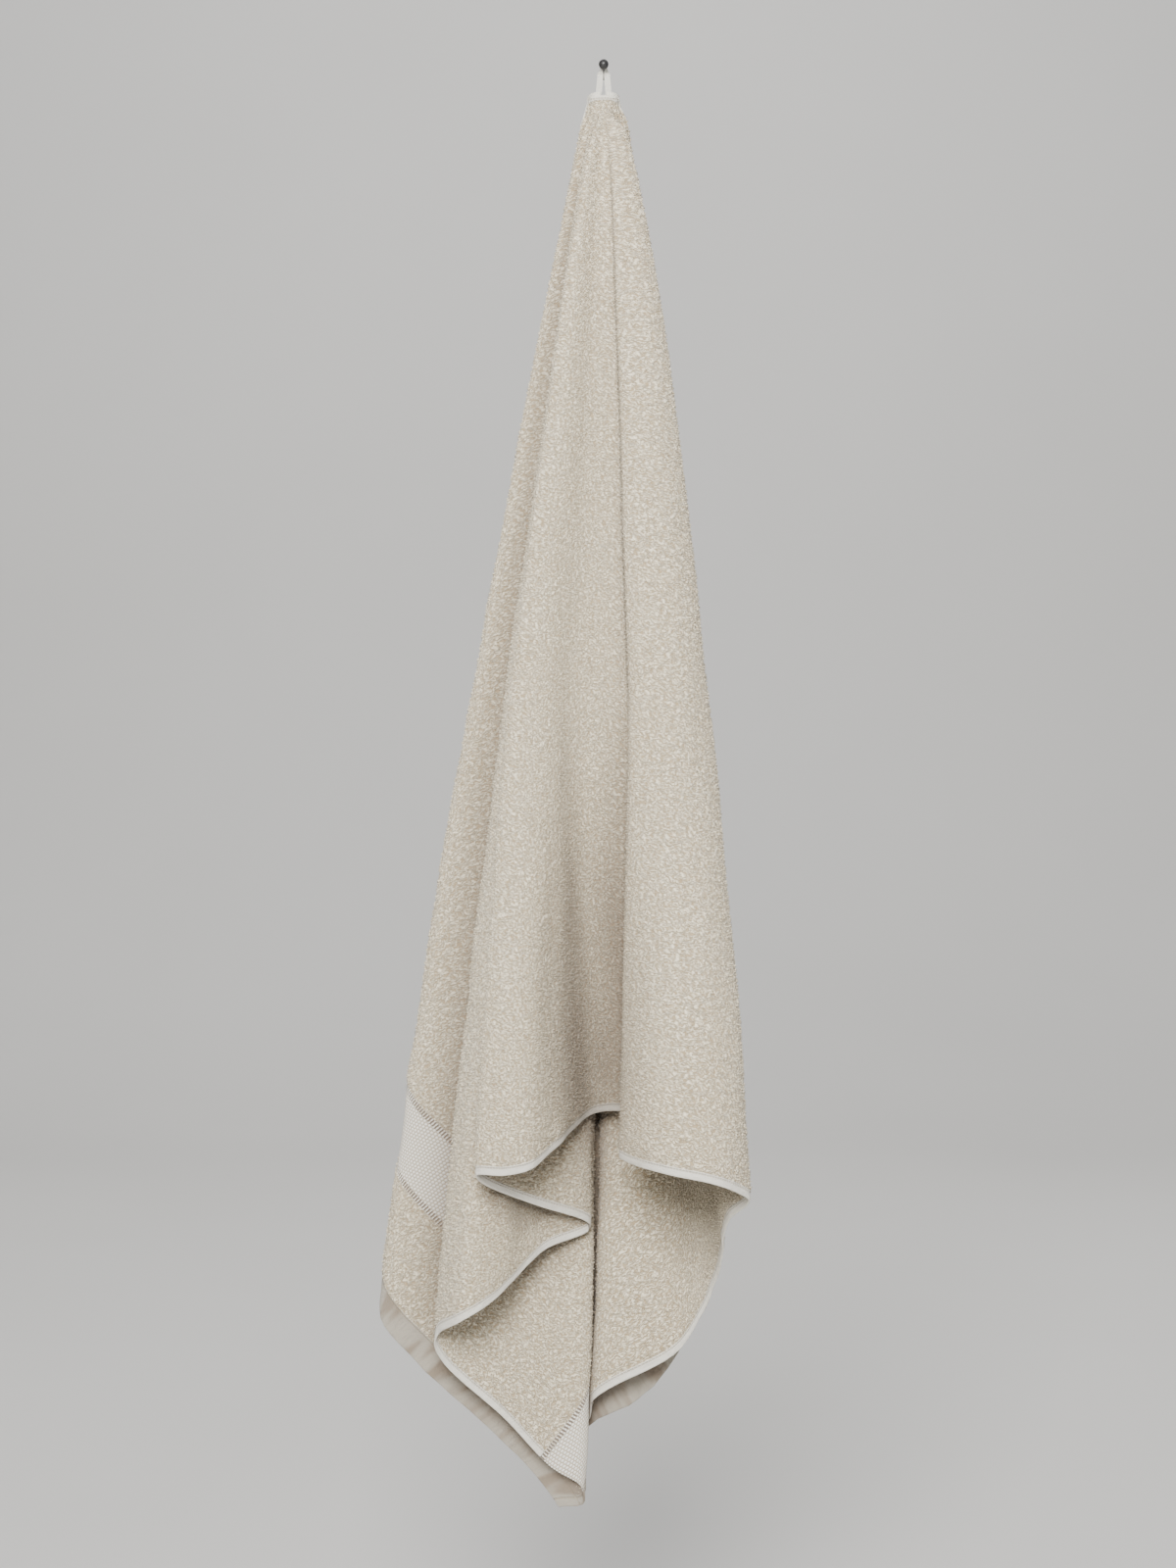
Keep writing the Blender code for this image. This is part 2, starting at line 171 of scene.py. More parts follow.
# Columns: name, angle on the cloth in degrees, share of the length kept, half gap of a tight
# turn, then x and distance from the wall at MID, LOW and END, all in millimetres
FOLDS = [
    ("left_free_edge",    -90.0, 1.000, 0.0,  -36,   20,  -70,   20,  -84,   20),
    ("left_hidden_a",     -87.0, 1.000, 0.0,  -66,   20, -116,   20, -140,   20),
    ("left_outer_a",      -84.0, 1.000, 2.2,  -94,   24, -157,   25, -187,   24),
    ("left_hidden_b",     -80.6, 1.000, 0.0,  -64,   27, -104,   28, -122,   27),
    ("left_inner_a",      -76.8, 1.000, 2.2,  -28,   30,  -48,   32,  -56,   31),
    ("left_hidden_c",     -73.0, 1.000, 0.0,  -64,   33, -106,   36, -124,   35),
    ("left_outer_b",      -69.0, 1.000, 2.2, -104,   37, -171,   41, -203,   40),
    ("left_hidden_d",     -64.6, 1.000, 0.0,  -66,   40, -106,   44, -126,   43),
    ("left_inner_b",      -60.6, 1.000, 2.2,  -28,   43,  -46,   48,  -54,   47),
    ("left_hidden_e",     -56.0, 1.000, 0.0,  -66,   47, -106,   52, -126,   50),
    ("left_side",         -50.6, 0.996, 3.0, -115,   55, -187,   61, -225,   58),
    ("left_wing",         -47.4, 0.991, 0.0,  -90,   63, -148,   74, -178,   68),
    ("left_wing_mid",     -44.6, 0.988, 0.0,  -52,   64,  -84,   71, -104,   66),
    ("corner",            -42.0, 0.990, 0.0,  -20,   64,  -26,   68,  -41,   66),
    ("corner_turn",       -40.8, 0.998, 2.7,   -9,   69,  -12,   79,  -20,   77),
    ("corner_low",        -38.9, 1.004, 0.0,  -23,   73,  -34,   82,  -50,   81),
    ("corner_mid",        -36.6, 1.002, 0.0,  -46,   77,  -76,   87,  -92,   87),
    ("second_edge",       -31.8, 1.000, 2.5,  -84,   88, -136,  115, -164,  114),
    ("second_crest",      -29.6, 1.000, 0.0,  -74,  101, -117,  154, -138,  158),
    ("second_front",      -27.4, 1.000, 0.0,  -60,   98,  -88,  144, -103,  148),
    ("second_mid",        -25.2, 1.000, 0.0,  -44,   94,  -72,  122,  -84,  126),
    ("second_inner",      -22.7, 1.000, 0.0,  -28,   90,  -49,  104,  -58,  107),
    ("inner_edge",        -20.2, 1.000, 2.1,  -15,   85,  -14,   94,  -16,   94),
    ("under_lobe",        -16.0, 1.000, 0.0,  -46,  100,  -66,  140,  -70,  144),
    ("lobe_edge",         -11.5, 1.000, 2.5,  -79,  115, -111,  192, -125,  202),
    ("lobe_crest",         -9.2, 1.004, 0.0,  -64,  123,  -87,  209,  -97,  221),
    ("lobe_front",         -7.2, 1.002, 0.0,  -53,  123,  -66,  203,  -73,  215),
    ("lobe_slope",         -5.0, 0.986, 0.0,  -42,  119,  -44,  169,  -46,  181),
    ("valley",             -0.6, 0.963, 0.0,  -20,  109,   -8,  106,   -4,  102),
    ("valley_right",        2.4, 0.962, 0.0,    2,  108,   28,  102,   34,   98),
    ("pleat_turn",          5.6, 0.972, 2.0,   21,  115,   72,  118,   84,  114),
    ("right_lobe_edge",     8.8, 0.987, 2.0,   22,  124,   16,  164,   14,  170),
    ("right_crest",        12.0, 0.991, 0.0,   42,  134,   50,  216,   52,  228),
    ("right_shoulder",     15.0, 0.994, 0.0,   70,  127,   98,  222,  104,  236),
    ("right_side",         17.4, 0.996, 0.0,   87,  110,  123,  196,  132,  208),
    ("right_side_wall",    20.6, 0.996, 0.0,   88,   92,  108,  150,  118,  158),
    ("right_wall",         25.4, 1.000, 0.0,   80,   80,   99,  104,  116,  106),
    ("right_panel_turn",   29.6, 1.004, 0.0,   66,   71,   82,   79,   98,   79),
    ("right_panel",        31.8, 1.006, 0.0,   50,   67,   62,   76,   76,   76),
    ("slit_edge",          35.8, 1.005, 2.2,   -1,   61,   -2,   71,  -16,   70),
    ("slit_back",          37.2, 0.996, 0.0,   -4,   57,   -6,   60,  -20,   59),
    ("behind_a",           38.8, 0.985, 2.0,  -26,   55,  -46,   57,  -58,   56),
    ("end_corner",         42.0, 0.960, 0.0,  -18,   51,  -26,   52,  -36,   51),
    ("end_hem_start",      44.4, 0.975, 0.0,    2,   48,   -2,   49,   -8,   48),
    ("end_hem_mid",        46.4, 0.995, 0.0,   25,   47,   26,   48,   34,   49),
    ("end_hem_turn",       49.8, 1.000, 2.2,   49,   44,   66,   44,   76,   43),
    ("right_hidden_a",     52.4, 1.000, 0.0,   28,   41,   30,   40,   34,   38),
    ("right_inner_a",      55.2, 1.000, 2.2,   -4,   38,  -10,   37,  -14,   35),
    ("right_hidden_b",     58.8, 1.000, 0.0,   34,   35,   48,   33,   54,   31),
    ("right_outer_a",      62.4, 1.000, 2.2,   60,   32,   98,   30,  112,   28),
    ("right_hidden_c",     66.0, 1.000, 0.0,   34,   29,   46,   26,   52,   24),
    ("right_inner_b",      69.6, 1.000, 2.2,   -4,   26,  -10,   23,  -14,   21),
    ("right_hidden_d",     73.0, 1.000, 0.0,   34,   22,   48,   19,   54,   17),
    ("right_outer_b",      76.6, 1.000, 2.2,   58,   18,   98,   14,  112,   12),
    ("cover_a",            80.0, 1.000, 0.0,   34,   14,   52,    9,   64,    7),
    ("cover_b",            85.0, 1.000, 0.0,  -18,   13,  -34,    8,  -40,    7),
    ("right_free_edge",    90.0, 1.000, 0.0,  -68,   13, -118,    8, -138,    7),
]


def fold_rows():
    """Rows of the fold table, each tight turn opened into two."""
    rows = []
    for i, fold in enumerate(FOLDS):
        angle, kept, gap = fold[1:4]
        places = list(fold[4:])
        if not gap:
            rows.append([angle, kept, 0.0] + places)
            continue
        outward = math.copysign(gap, FOLDS[i + 1][7] - FOLDS[i - 1][7])
        for side in (-1, 1):
            step = side * outward
            near_x, near_d, low_x, low_d, end_x, end_d = places
            rows.append([angle + side * TURN_ANGLE, kept, step * TURN_AT_TOP,
                         near_x, near_d + step * TURN_AT_MID,
                         low_x, low_d + step, end_x, end_d + step])
    return np.array(rows, float)


def hermite(t, start, start_slope, stop, stop_slope):
    """Cubic between two values with given slopes."""
    return ((2 * t**3 - 3 * t**2 + 1) * start + (t**3 - 2 * t**2 + t) * start_slope
            + (3 * t**2 - 2 * t**3) * stop + (t**3 - t**2) * stop_slope)


def blend_weights(knots, angles):
    """Weights that turn values at the folds into smooth values at the given angles."""
    count = len(knots)
    gaps = np.diff(knots)
    secant = np.zeros((count - 1, count))
    for i in range(count - 1):
        secant[i, i] = -1 / gaps[i]
        secant[i, i + 1] = 1 / gaps[i]
    slope = np.zeros((count, count))
    slope[0] = secant[0]
    slope[-1] = secant[-1]
    for i in range(1, count - 1):
        slope[i] = (secant[i - 1] * gaps[i] + secant[i] * gaps[i - 1]) / (gaps[i - 1] + gaps[i])
    i = np.clip(np.searchsorted(knots, angles, side="right") - 1, 0, count - 2)
    t = ((angles - knots[i]) / gaps[i])[:, None]
    span = gaps[i][:, None]
    same = np.eye(count)
    return hermite(t, same[i], span * slope[i], same[i + 1], span * slope[i + 1])


def reach(angles):
    """Distance from the loop to the edge of the flat cloth along each angle."""
    turn = np.radians(np.abs(angles))
    far_side = WIDTH / np.maximum(np.cos(turn), 1e-9)
    short_end = HALF_LENGTH / np.maximum(np.sin(turn), 1e-9)
    return np.minimum(far_side, short_end)


def gathered(distance):
    """How far the folds have opened at a distance from the loop."""
    return distance**3 / (distance**2 + GATHER**2)


class HungCloth:
    """Cloth hung from one point: each angle on the flat cloth runs down as one line."""

    def __init__(self, angles):
        self.angles = np.asarray(angles, float)
        rows = fold_rows()
        weights = blend_weights(rows[:, 0], self.angles)
        self.kept = weights @ rows[:, 1]
        self.turn_top = weights @ rows[:, 2] / 1000
        self.mid = weights @ rows[:, 3:5] / 1000
        self.low = weights @ rows[:, 5:7] / 1000
        self.end = weights @ rows[:, 7:9] / 1000
        near = np.linspace(0, TOP_ZONE, TOP_SAMPLES)
        far = np.linspace(TOP_ZONE, REACH_LIMIT, LOWER_SAMPLES)[1:]
        self.down = np.concatenate([near, far])
        self.points = self.drop_lines(self.plan_lines())

    def top_lines(self):
        """Lines that leave the loop sideways and bend down, without any folds."""
        turn = np.radians(self.angles)
        hold = np.exp(-(self.down / CAP_RADIUS) ** CAP_SHARPNESS)[:, None]
        heading = np.sin(turn[None, :] * hold)
        steps = np.diff(self.down)[:, None]
        side = np.zeros_like(heading)
        side[1:] = np.cumsum(0.5 * (heading[1:] + heading[:-1]) * steps, axis=0)
        back = CAP_FRONT - (CAP_BACK + CAP_FRONT) * (1 - np.cos(turn)) + self.turn_top
        depth = APEX_DEPTH + (1 - hold) * back[None, :]
        return np.stack([side, depth], axis=2)

    def plan_lines(self):
        """Sideways place and distance from the wall of each line, all the way down."""
        plan = self.top_lines()
        top = plan[-1].copy()
        bow = np.stack([SIDE_BOW - SIDE_BOW_SWING * np.tanh(self.angles / SIDE_BOW_ANGLE),
                        np.full(len(self.angles), DEPTH_BOW)], axis=1)
        open_mid = gathered(MID)
        near = self.down <= MID
        free = 1 - np.exp(-(self.down[near] / PLEAT_START) ** PLEAT_RISE)
        opened = (gathered(self.down[near]) / open_mid)[:, None, None] ** bow[None]
        plan[near] += (self.mid - top)[None] * opened * free[:, None, None]
        rate = bow * (gathered(MID + RATE_STEP) - open_mid) / RATE_STEP / open_mid
        first = (self.low - self.mid) / (LOW - MID)
        second = (self.end - self.low) / (END - LOW)
        slope_mid = (self.mid - top) * rate
        slope_low = (first * (END - LOW) + second * (LOW - MID)) / (END - MID)
        slope_end = 2 * second - slope_low
        parts = ((MID, self.mid, slope_mid, LOW, self.low, slope_low),
                 (LOW, self.low, slope_low, END, self.end, slope_end))
        for start, place, slope, stop, next_place, next_slope in parts:
            inside = (self.down > start) & (self.down <= stop)
            length = stop - start
            t = ((self.down[inside] - start) / length)[:, None, None]
            plan[inside] = hermite(t, place, length * slope, next_place, length * next_slope)
        beyond = self.down > END
        plan[beyond] = self.end + slope_end * (self.down[beyond] - END)[:, None, None]
        return plan

    def drop_lines(self, plan):
        """Heights that keep each line as long as the cloth it is made of."""
        steps = np.diff(self.down)[:, None]
        run = np.sum(np.diff(plan, axis=0) ** 2, axis=2)
        fall = np.sqrt(np.maximum(steps**2 - run, (STEEPEST * steps) ** 2))
        height = np.full(plan.shape[:2], APEX_Z)
        height[1:] -= np.cumsum(fall, axis=0)
        return np.stack([plan[:, :, 0], -plan[:, :, 1], height], axis=2)

    def at(self, share):
        """Points at shares of the way from the loop to the edge, rows by columns."""
        distance = share[:, None] * (reach(self.angles) * self.kept)[None, :]
        i = np.clip(np.searchsorted(self.down, distance) - 1, 0, len(self.down) - 2)
        t = (distance - self.down[i]) / (self.down[i + 1] - self.down[i])
        j = np.arange(len(self.angles))[None, :]
        return self.points[i, j] * (1 - t)[..., None] + self.points[i + 1, j] * t[..., None]


def column_angles():
    """Angles of the grid columns, closer together where the cloth bends or shows."""
    fine = np.linspace(-90, 90, FINE_ANGLES)
    low = HungCloth(fine).low
    step = np.diff(low, axis=0)
    heading = np.unwrap(np.arctan2(step[:, 1], step[:, 0]))
    bend = np.abs(np.diff(heading, prepend=heading[0]))
    seen = np.where(np.abs(fine[1:]) < SEEN_ANGLE, SEEN_WEIGHT, 1.0)
    length = np.linalg.norm(step, axis=1) * seen
    load = length / length.sum() + BEND_WEIGHT * bend / bend.sum()
    run = np.concatenate([[0.0], np.cumsum(load)])
    angles = np.interp(np.linspace(0, run[-1], COLUMNS), run, fine)
    for corner in (-CORNER_ANGLE, CORNER_ANGLE):
        angles[np.argmin(np.abs(angles - corner))] = corner
    return angles


def row_shares():
    """Shares of the way down at the grid rows, with a pair at each hem and band line."""
    even = FIRST_ROW + (1 - FIRST_ROW) * np.linspace(0, 1, EVEN_ROWS) ** TOP_CROWDING
    lines = [1 - END_HEM / HALF_LENGTH, 1 - SIDE_HEM / WIDTH,
             1 - BAND_OUTER / HALF_LENGTH, 1 - BAND_INNER / HALF_LENGTH]
    pairs = [line + side * STEP_SHARE for line in lines for side in (-1, 1)]
    ends = (even[0], even[-1])
    clear = [s for s in even if min(abs(s - p) for p in pairs) > STEP_SHARE or s in ends]
    edge = [1 - STEP_SHARE, 1 - RIM_STEPS * STEP_SHARE]
    return np.array(sorted(clear + pairs + edge))


def smooth_step(value, low, high):
    """0 below low, 1 above high and a smooth rise between them."""
    t = np.clip((value - low) / (high - low), 0, 1)
    return t * t * (3 - 2 * t)


def value_noise(across, down, size, seed):
    """Smooth noise from -1 to 1 over two coordinates, with one value for each size step."""
    table = np.random.RandomState(seed).uniform(-1, 1, (NOISE_TABLE, NOISE_TABLE))
    x = across / size[0] + NOISE_SHIFT
    y = down / size[1] + NOISE_SHIFT
    i = np.floor(x).astype(int)
    j = np.floor(y).astype(int)
    fx = x - i
    fy = y - j
    fx = fx * fx * (3 - 2 * fx)
    fy = fy * fy * (3 - 2 * fy)
    i0, i1 = i % NOISE_TABLE, (i + 1) % NOISE_TABLE
    j0, j1 = j % NOISE_TABLE, (j + 1) % NOISE_TABLE
    near = table[i0, j0] * (1 - fx) + table[i1, j0] * fx
    next_one = table[i0, j1] * (1 - fx) + table[i1, j1] * fx
    return near * (1 - fy) + next_one * fy


class Sheet:
    """The fine cloth: its centre surface, normals, flat coordinates and pile."""

    def __init__(self):
        self.angles = column_angles()
        self.share = row_shares()
        turn = np.radians(self.angles)[None, :]
        self.distance = self.share[:, None] * reach(self.angles)[None, :]
        self.along = self.distance * np.sin(turn)
        self.across = self.distance * np.cos(turn)
        self.centre = HungCloth(self.angles).at(self.share)
        self.normal = self.find_normals(self.centre)
        relief = self.wrinkles() + self.hem_ripples()
        self.centre = self.centre + relief[..., None] * self.normal
        self.normal = self.find_normals(self.centre)

    def find_normals(self, points):
        """Unit normals of the grid, towards the wall where the cloth runs to the right."""
        side = np.gradient(points, axis=1)
        down = np.gradient(points, axis=0)
        normal = np.cross(side, down)
        return normal / np.maximum(np.linalg.norm(normal, axis=2, keepdims=True), 1e-12)

    def weft(self):
        """Direction in space in which the flat cloth runs along its long side."""
        side = np.gradient(self.centre, axis=1)
        down = np.gradient(self.centre, axis=0)
        along_side = np.gradient(self.along, axis=1)
        along_down = np.gradient(self.along, axis=0)
        across_side = np.gradient(self.across, axis=1)
        across_down = np.gradient(self.across, axis=0)
        turn = np.sign(along_side * across_down - along_down * across_side)
        way = (across_down * turn)[..., None] * side - (across_side * turn)[..., None] * down
        return way / np.maximum(np.linalg.norm(way, axis=2, keepdims=True), 1e-12)

    def wrinkles(self):
        """Soft unevenness: long shallow flutes down the cloth and slacker, rounder swells."""
        opened = np.clip(self.distance / UNEVEN_FROM, 0, 1)
        arc = np.radians(self.angles)[None, :] * self.distance
        flutes = value_noise(arc, self.distance, FLUTE_SIZE, FLUTE_SEED) * FLUTE_HEIGHT
        swells = value_noise(arc, self.distance, SWELL_SIZE, SWELL_SEED) * SWELL_HEIGHT
        return (flutes + swells) * opened

    def hem_ripples(self):
        """Puckers of the hems, deepest on the loose end hem at the right."""
        to_end = HALF_LENGTH - np.abs(self.along)
        close = 1 - smooth_step(to_end, *RIPPLE_FADE)
        size = np.where(self.along > 0, RIPPLE_RIGHT, RIPPLE_LEFT)
        puckers = value_noise(self.across, to_end, (RIPPLE_LENGTH, RIPPLE_DEPTH), RIPPLE_SEED)
        to_side = WIDTH - self.across
        side = 1 - smooth_step(to_side, *SIDE_RIPPLE_FADE)
        side = side * (np.abs(self.along) < HALF_LENGTH - END_HEM)
        waves = value_noise(self.along, to_side, (SIDE_RIPPLE_LENGTH, RIPPLE_DEPTH),
                            SIDE_RIPPLE_SEED) * RIPPLE_SIDE
        return puckers * size * close + waves * side

    def is_terry(self):
        """1 where the cloth has loops, 0 on hems and bands."""
        to_end = HALF_LENGTH - np.abs(self.along)
        to_side = np.minimum(self.across, WIDTH - self.across)
        shift = BAND_SHIFT * smooth_step(self.across, BAND_SHIFT_FROM, BAND_SHIFT_TO)
        shift = shift * (self.along < 0)
        band = (to_end > BAND_OUTER + shift) & (to_end < BAND_INNER + shift)
        hem = (to_end < END_HEM) | (to_side < SIDE_HEM)
        return np.where(band | hem, 0.0, 1.0)

    def faces(self):
        """Both faces of the cloth, thinner at its edges."""
        half = np.interp(self.distance, THICK_AT, THICK) / 2
        half = half + np.interp(self.distance, PILE_AT, PILE) * self.is_terry()
        half[-1] *= LAST_ROW_SHARE
        half[-2] *= NEXT_ROW_SHARE
        half[:, 0] *= SIDE_EDGE_SHARE
        half[:, -1] *= SIDE_EDGE_SHARE
        step = half[..., None] * self.normal
        return self.centre + step, self.centre - step


def grid_object(name, sheet):
    """Closed mesh of both faces and the rim, with the flat cloth as its coordinates."""
    front, back = sheet.faces()
    rows, columns = front.shape[:2]
    count = rows * columns
    points = np.concatenate([front.reshape(-1, 3), back.reshape(-1, 3)])
    index = np.arange(count).reshape(rows, columns)
    a = index[:-1, :-1].ravel()
    b = index[:-1, 1:].ravel()
    c = index[1:, 1:].ravel()
    d = index[1:, :-1].ravel()
    front_faces = np.stack([a, b, c, d], axis=1)
    back_faces = front_faces[:, ::-1] + count
    rim = np.concatenate([index[0, :], index[1:, -1], index[-1, -2::-1], index[-2:0:-1, 0]])
    after = np.roll(rim, -1)
    rim_faces = np.stack([after, rim, rim + count, after + count], axis=1)
    faces = np.concatenate([front_faces, back_faces, rim_faces])
    mesh = bpy.data.meshes.new(name)
    mesh.from_pydata(points.tolist(), [], faces.tolist())
    flat = np.stack([sheet.along.ravel(), sheet.across.ravel()], axis=1)
    write_map(mesh, CLOTH_MAP, np.concatenate([flat, flat]))
    mesh.shade_smooth()
    return add_object(name, mesh)


def add_object(name, data):
    """New object in the scene."""
    thing = bpy.data.objects.new(name, data)
    bpy.context.scene.collection.objects.link(thing)
    return thing


def write_map(mesh, name, pairs):
    """Store one pair of values for each vertex as a layer of flat coordinates."""
    corners = np.empty(len(mesh.loops), int)
    mesh.loops.foreach_get("vertex_index", corners)
    layer = mesh.uv_layers.new(name=name)
    layer.data.foreach_set("uv", pairs[corners].astype(np.float32).ravel())


def write_openness(mesh, values):
    """Store how open each vertex lies, which sets the painted fold shade."""
    write_map(mesh, FOLD_MAP, np.stack([values, np.zeros_like(values)], axis=1))


def smoothed(grid):
    """Mean of each value and its neighbours."""
    wide = np.pad(grid, 1, mode="edge")
    rows, columns = grid.shape
    shifts = [(i, j) for i in range(3) for j in range(3)]
    return sum(wide[i:i + rows, j:j + columns] for i, j in shifts) / 9


def openness(points, normals, tree):
    """Share of the rays from each place of one face that meet nothing close by."""
    rough = np.cross(normals, np.array(OFF_AXIS))
    rough /= np.linalg.norm(rough, axis=2, keepdims=True)
    other = np.cross(normals, rough)
    free = np.zeros(points.shape[:2])
    start = (points + normals * OPEN_LIFT).reshape(-1, 3).tolist()
    for k in range(OPEN_RAYS):
        out = math.sqrt((k + 0.5) / OPEN_RAYS)
        turn = k * GOLDEN_ANGLE
        way = (rough * out * math.cos(turn) + other * out * math.sin(turn)
               + normals * math.sqrt(1 - out * out))
        ways = way.reshape(-1, 3).tolist()
        met = [tree.ray_cast(p, w, OPEN_LENGTH)[0] is None for p, w in zip(start, ways)]
        free += np.array(met, float).reshape(free.shape)
    return smoothed(smoothed(free / OPEN_RAYS))


def add_fold_map(towel, sheet):
    """Write how open the cloth lies to the towel, for its painted fold shade, and hand back
    both faces' values.
    """
    tree = BVHTree.FromObject(towel, bpy.context.evaluated_depsgraph_get())
    front, back = sheet.faces()
    opened = [openness(front, sheet.normal, tree), openness(back, -sheet.normal, tree)]
    write_openness(towel.data, np.concatenate([o.ravel() for o in opened]))
    return opened


def nub_places(sheet, opened):
    """Random places on the terry that shows, with all that a nub needs there."""
    terry = sheet.is_terry() > 0.5
    rng = np.random.RandomState(NUB_SEED)
    found = []
    for face, free in zip(sheet.faces(), opened):
        a, b, c, d = face[:-1, :-1], face[:-1, 1:], face[1:, 1:], face[1:, :-1]
        area = 0.5 * np.linalg.norm(np.cross(c - a, d - b), axis=2)
        inside = terry[:-1, :-1] & terry[:-1, 1:] & terry[1:, 1:] & terry[1:, :-1]
        shown = free[:-1, :-1] + free[1:, 1:] > 2 * OPEN_LEAST
        found.append((area * inside * shown, face, free[..., None]))
    weight = np.concatenate([f[0].ravel() for f in found])
    total = NUB_PIECES * NUBS_EACH
    ticks = (np.arange(total) + rng.uniform(0, 1, total)) / total * weight.sum()
    pick = np.minimum(np.searchsorted(np.cumsum(weight), ticks), len(weight) - 1)
    side = pick // found[0][0].size
    quad = pick % found[0][0].size
    r, c = np.unravel_index(quad, found[0][0].shape)
    u = rng.uniform(0, 1, total)
    v = rng.uniform(0, 1, total)

    def blended(grid):
        low = grid[r, c] * (1 - u)[:, None] + grid[r, c + 1] * u[:, None]
        high = grid[r + 1, c] * (1 - u)[:, None] + grid[r + 1, c + 1] * u[:, None]
        return low * (1 - v)[:, None] + high * v[:, None]

    sides = [blended(f[1]) for f in found]
    points = np.where(side[:, None] == 0, sides[0], sides[1])
    normals = blended(sheet.normal) * np.where(side == 0, 1, -1)[:, None]
    normals /= np.linalg.norm(normals, axis=1, keepdims=True)
    flat = blended(np.stack([sheet.along, sheet.across], axis=2))
    # How open each nub's place lies, which sets its painted fold shade
    depths = [blended(f[2]) for f in found]
    depth = np.where(side[:, None] == 0, depths[0], depths[1])[:, 0]
    return points, normals, blended(sheet.weft()), flat, depth, rng


def build_nubs(sheet, opened, material):
    """Pile of small closed nubs, each a leaning wedge rooted in the cloth."""
    points, normals, weft, flat, depth, rng = nub_places(sheet, opened)
    total = len(points)
    spin = rng.normal(0, NUB_SWING, total) + math.pi * rng.randint(0, 2, total)
    size = rng.uniform(*NUB_SIZES, total)[:, None]
    other = np.cross(normals, weft)
    other /= np.maximum(np.linalg.norm(other, axis=1, keepdims=True), 1e-9)
    weft = np.cross(other, normals)
    along = weft * np.cos(spin)[:, None] + other * np.sin(spin)[:, None]
    wide = np.cross(normals, along)
    base = points - normals * NUB_SINK
    tail = base - along * size * NUB_LENGTH * NUB_TAIL
    left = base + along * size * NUB_LENGTH * NUB_FRONT - wide * size * NUB_WIDTH * 0.5
    right = base + along * size * NUB_LENGTH * NUB_FRONT + wide * size * NUB_WIDTH * 0.5
    lean = rng.uniform(-1, 1, (total, 2)) * NUB_LEAN
    top = points + normals * size * NUB_HEIGHT + along * lean[:, :1] + wide * lean[:, 1:]
    corners = np.stack([tail, left, right, top], axis=1)
    sides = ((0, 2, 1), (0, 1, 3), (1, 2, 3), (2, 0, 3))
    pieces = []
    for k in range(NUB_PIECES):
        chosen = corners[k::NUB_PIECES]
        start = 4 * np.arange(len(chosen))[:, None]
        faces = np.concatenate([start + np.array(side) for side in sides])
        mesh = bpy.data.meshes.new("pile_%d" % (k + 1))
        mesh.from_pydata(chosen.reshape(-1, 3).tolist(), [], faces.tolist())
        write_map(mesh, CLOTH_MAP, np.repeat(flat[k::NUB_PIECES], 4, axis=0))
        write_openness(mesh, np.repeat(depth[k::NUB_PIECES], 4))
        mesh.shade_smooth()
        mesh.materials.append(material)
        thing = add_object(mesh.name, mesh)
        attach(thing, "root")
        pieces.append(thing)
    return pieces


class Graph:
    """A short way to write a material's nodes."""

    def __init__(self, name):
        self.material = bpy.data.materials.new(name)
        self.material.use_nodes = True
        self.tree = self.material.node_tree
        self.shader = self.tree.nodes["Principled BSDF"]

    def set(self, **values):
        """Values or links for the shader's own sockets, by name."""
        for key, value in values.items():
            self.put(self.shader.inputs[key.replace("_", " ")], value)

    def put(self, socket, value):
        """A link from a socket, or a plain value or colour."""
        if isinstance(value, bpy.types.NodeSocket):
            self.tree.links.new(value, socket)
        elif isinstance(value, tuple) and len(value) == 3 and len(socket.default_value) == 4:
            socket.default_value = (*value, 1.0)
        else:
            socket.default_value = value

    def node(self, kind, **settings):
        made = self.tree.nodes.new(kind)
        for key, value in settings.items():
            setattr(made, key, value)
        return made

    def math(self, operation, a, b=None):
        made = self.node("ShaderNodeMath", operation=operation)
        self.put(made.inputs[0], a)
        if b is not None:
            self.put(made.inputs[1], b)
        return made.outputs[0]

    def ramp(self, value, low, high, start=0.0, stop=1.0):
        """Smooth step of a value from low to high."""
        made = self.node("ShaderNodeMapRange", interpolation_type="SMOOTHSTEP")
        for key, item in (("Value", value), ("From Min", low), ("From Max", high),
                          ("To Min", start), ("To Max", stop)):
            self.put(made.inputs[key], item)
        return made.outputs[0]

    def mix(self, factor, a, b):
        made = self.node("ShaderNodeMix", data_type="RGBA")
        self.put(made.inputs[0], factor)
        self.put(made.inputs[6], a)
        self.put(made.inputs[7], b)
        return made.outputs[2]

    def scaled(self, vector, scale):
        made = self.node("ShaderNodeMapping")
        self.put(made.inputs["Vector"], vector)
        made.inputs["Scale"].default_value = scale
        return made.outputs[0]

    def noise(self, vector, scale, detail=3.0, roughness=0.55):
        made = self.node("ShaderNodeTexNoise")
        self.put(made.inputs["Vector"], vector)
        made.inputs["Scale"].default_value = scale
        made.inputs["Detail"].default_value = detail
        made.inputs["Roughness"].default_value = roughness
        return made.outputs["Fac"]

    def cells(self, vector, scale, smoothness):
        made = self.node("ShaderNodeTexVoronoi", feature="SMOOTH_F1")
        self.put(made.inputs["Vector"], vector)
        made.inputs["Scale"].default_value = scale
        made.inputs["Smoothness"].default_value = smoothness
        return made.outputs["Distance"]

    def bump(self, height, distance):
        made = self.node("ShaderNodeBump")
        made.inputs["Strength"].default_value = 1.0
        made.inputs["Distance"].default_value = distance
        self.put(made.inputs["Height"], height)
        return made.outputs[0]

    def uv(self, name):
        return self.node("ShaderNodeUVMap", uv_map=name).outputs["UV"]

    def parts(self, vector):
        """The three numbers of a vector."""
        made = self.node("ShaderNodeSeparateXYZ")
        self.put(made.inputs[0], vector)
        return made.outputs
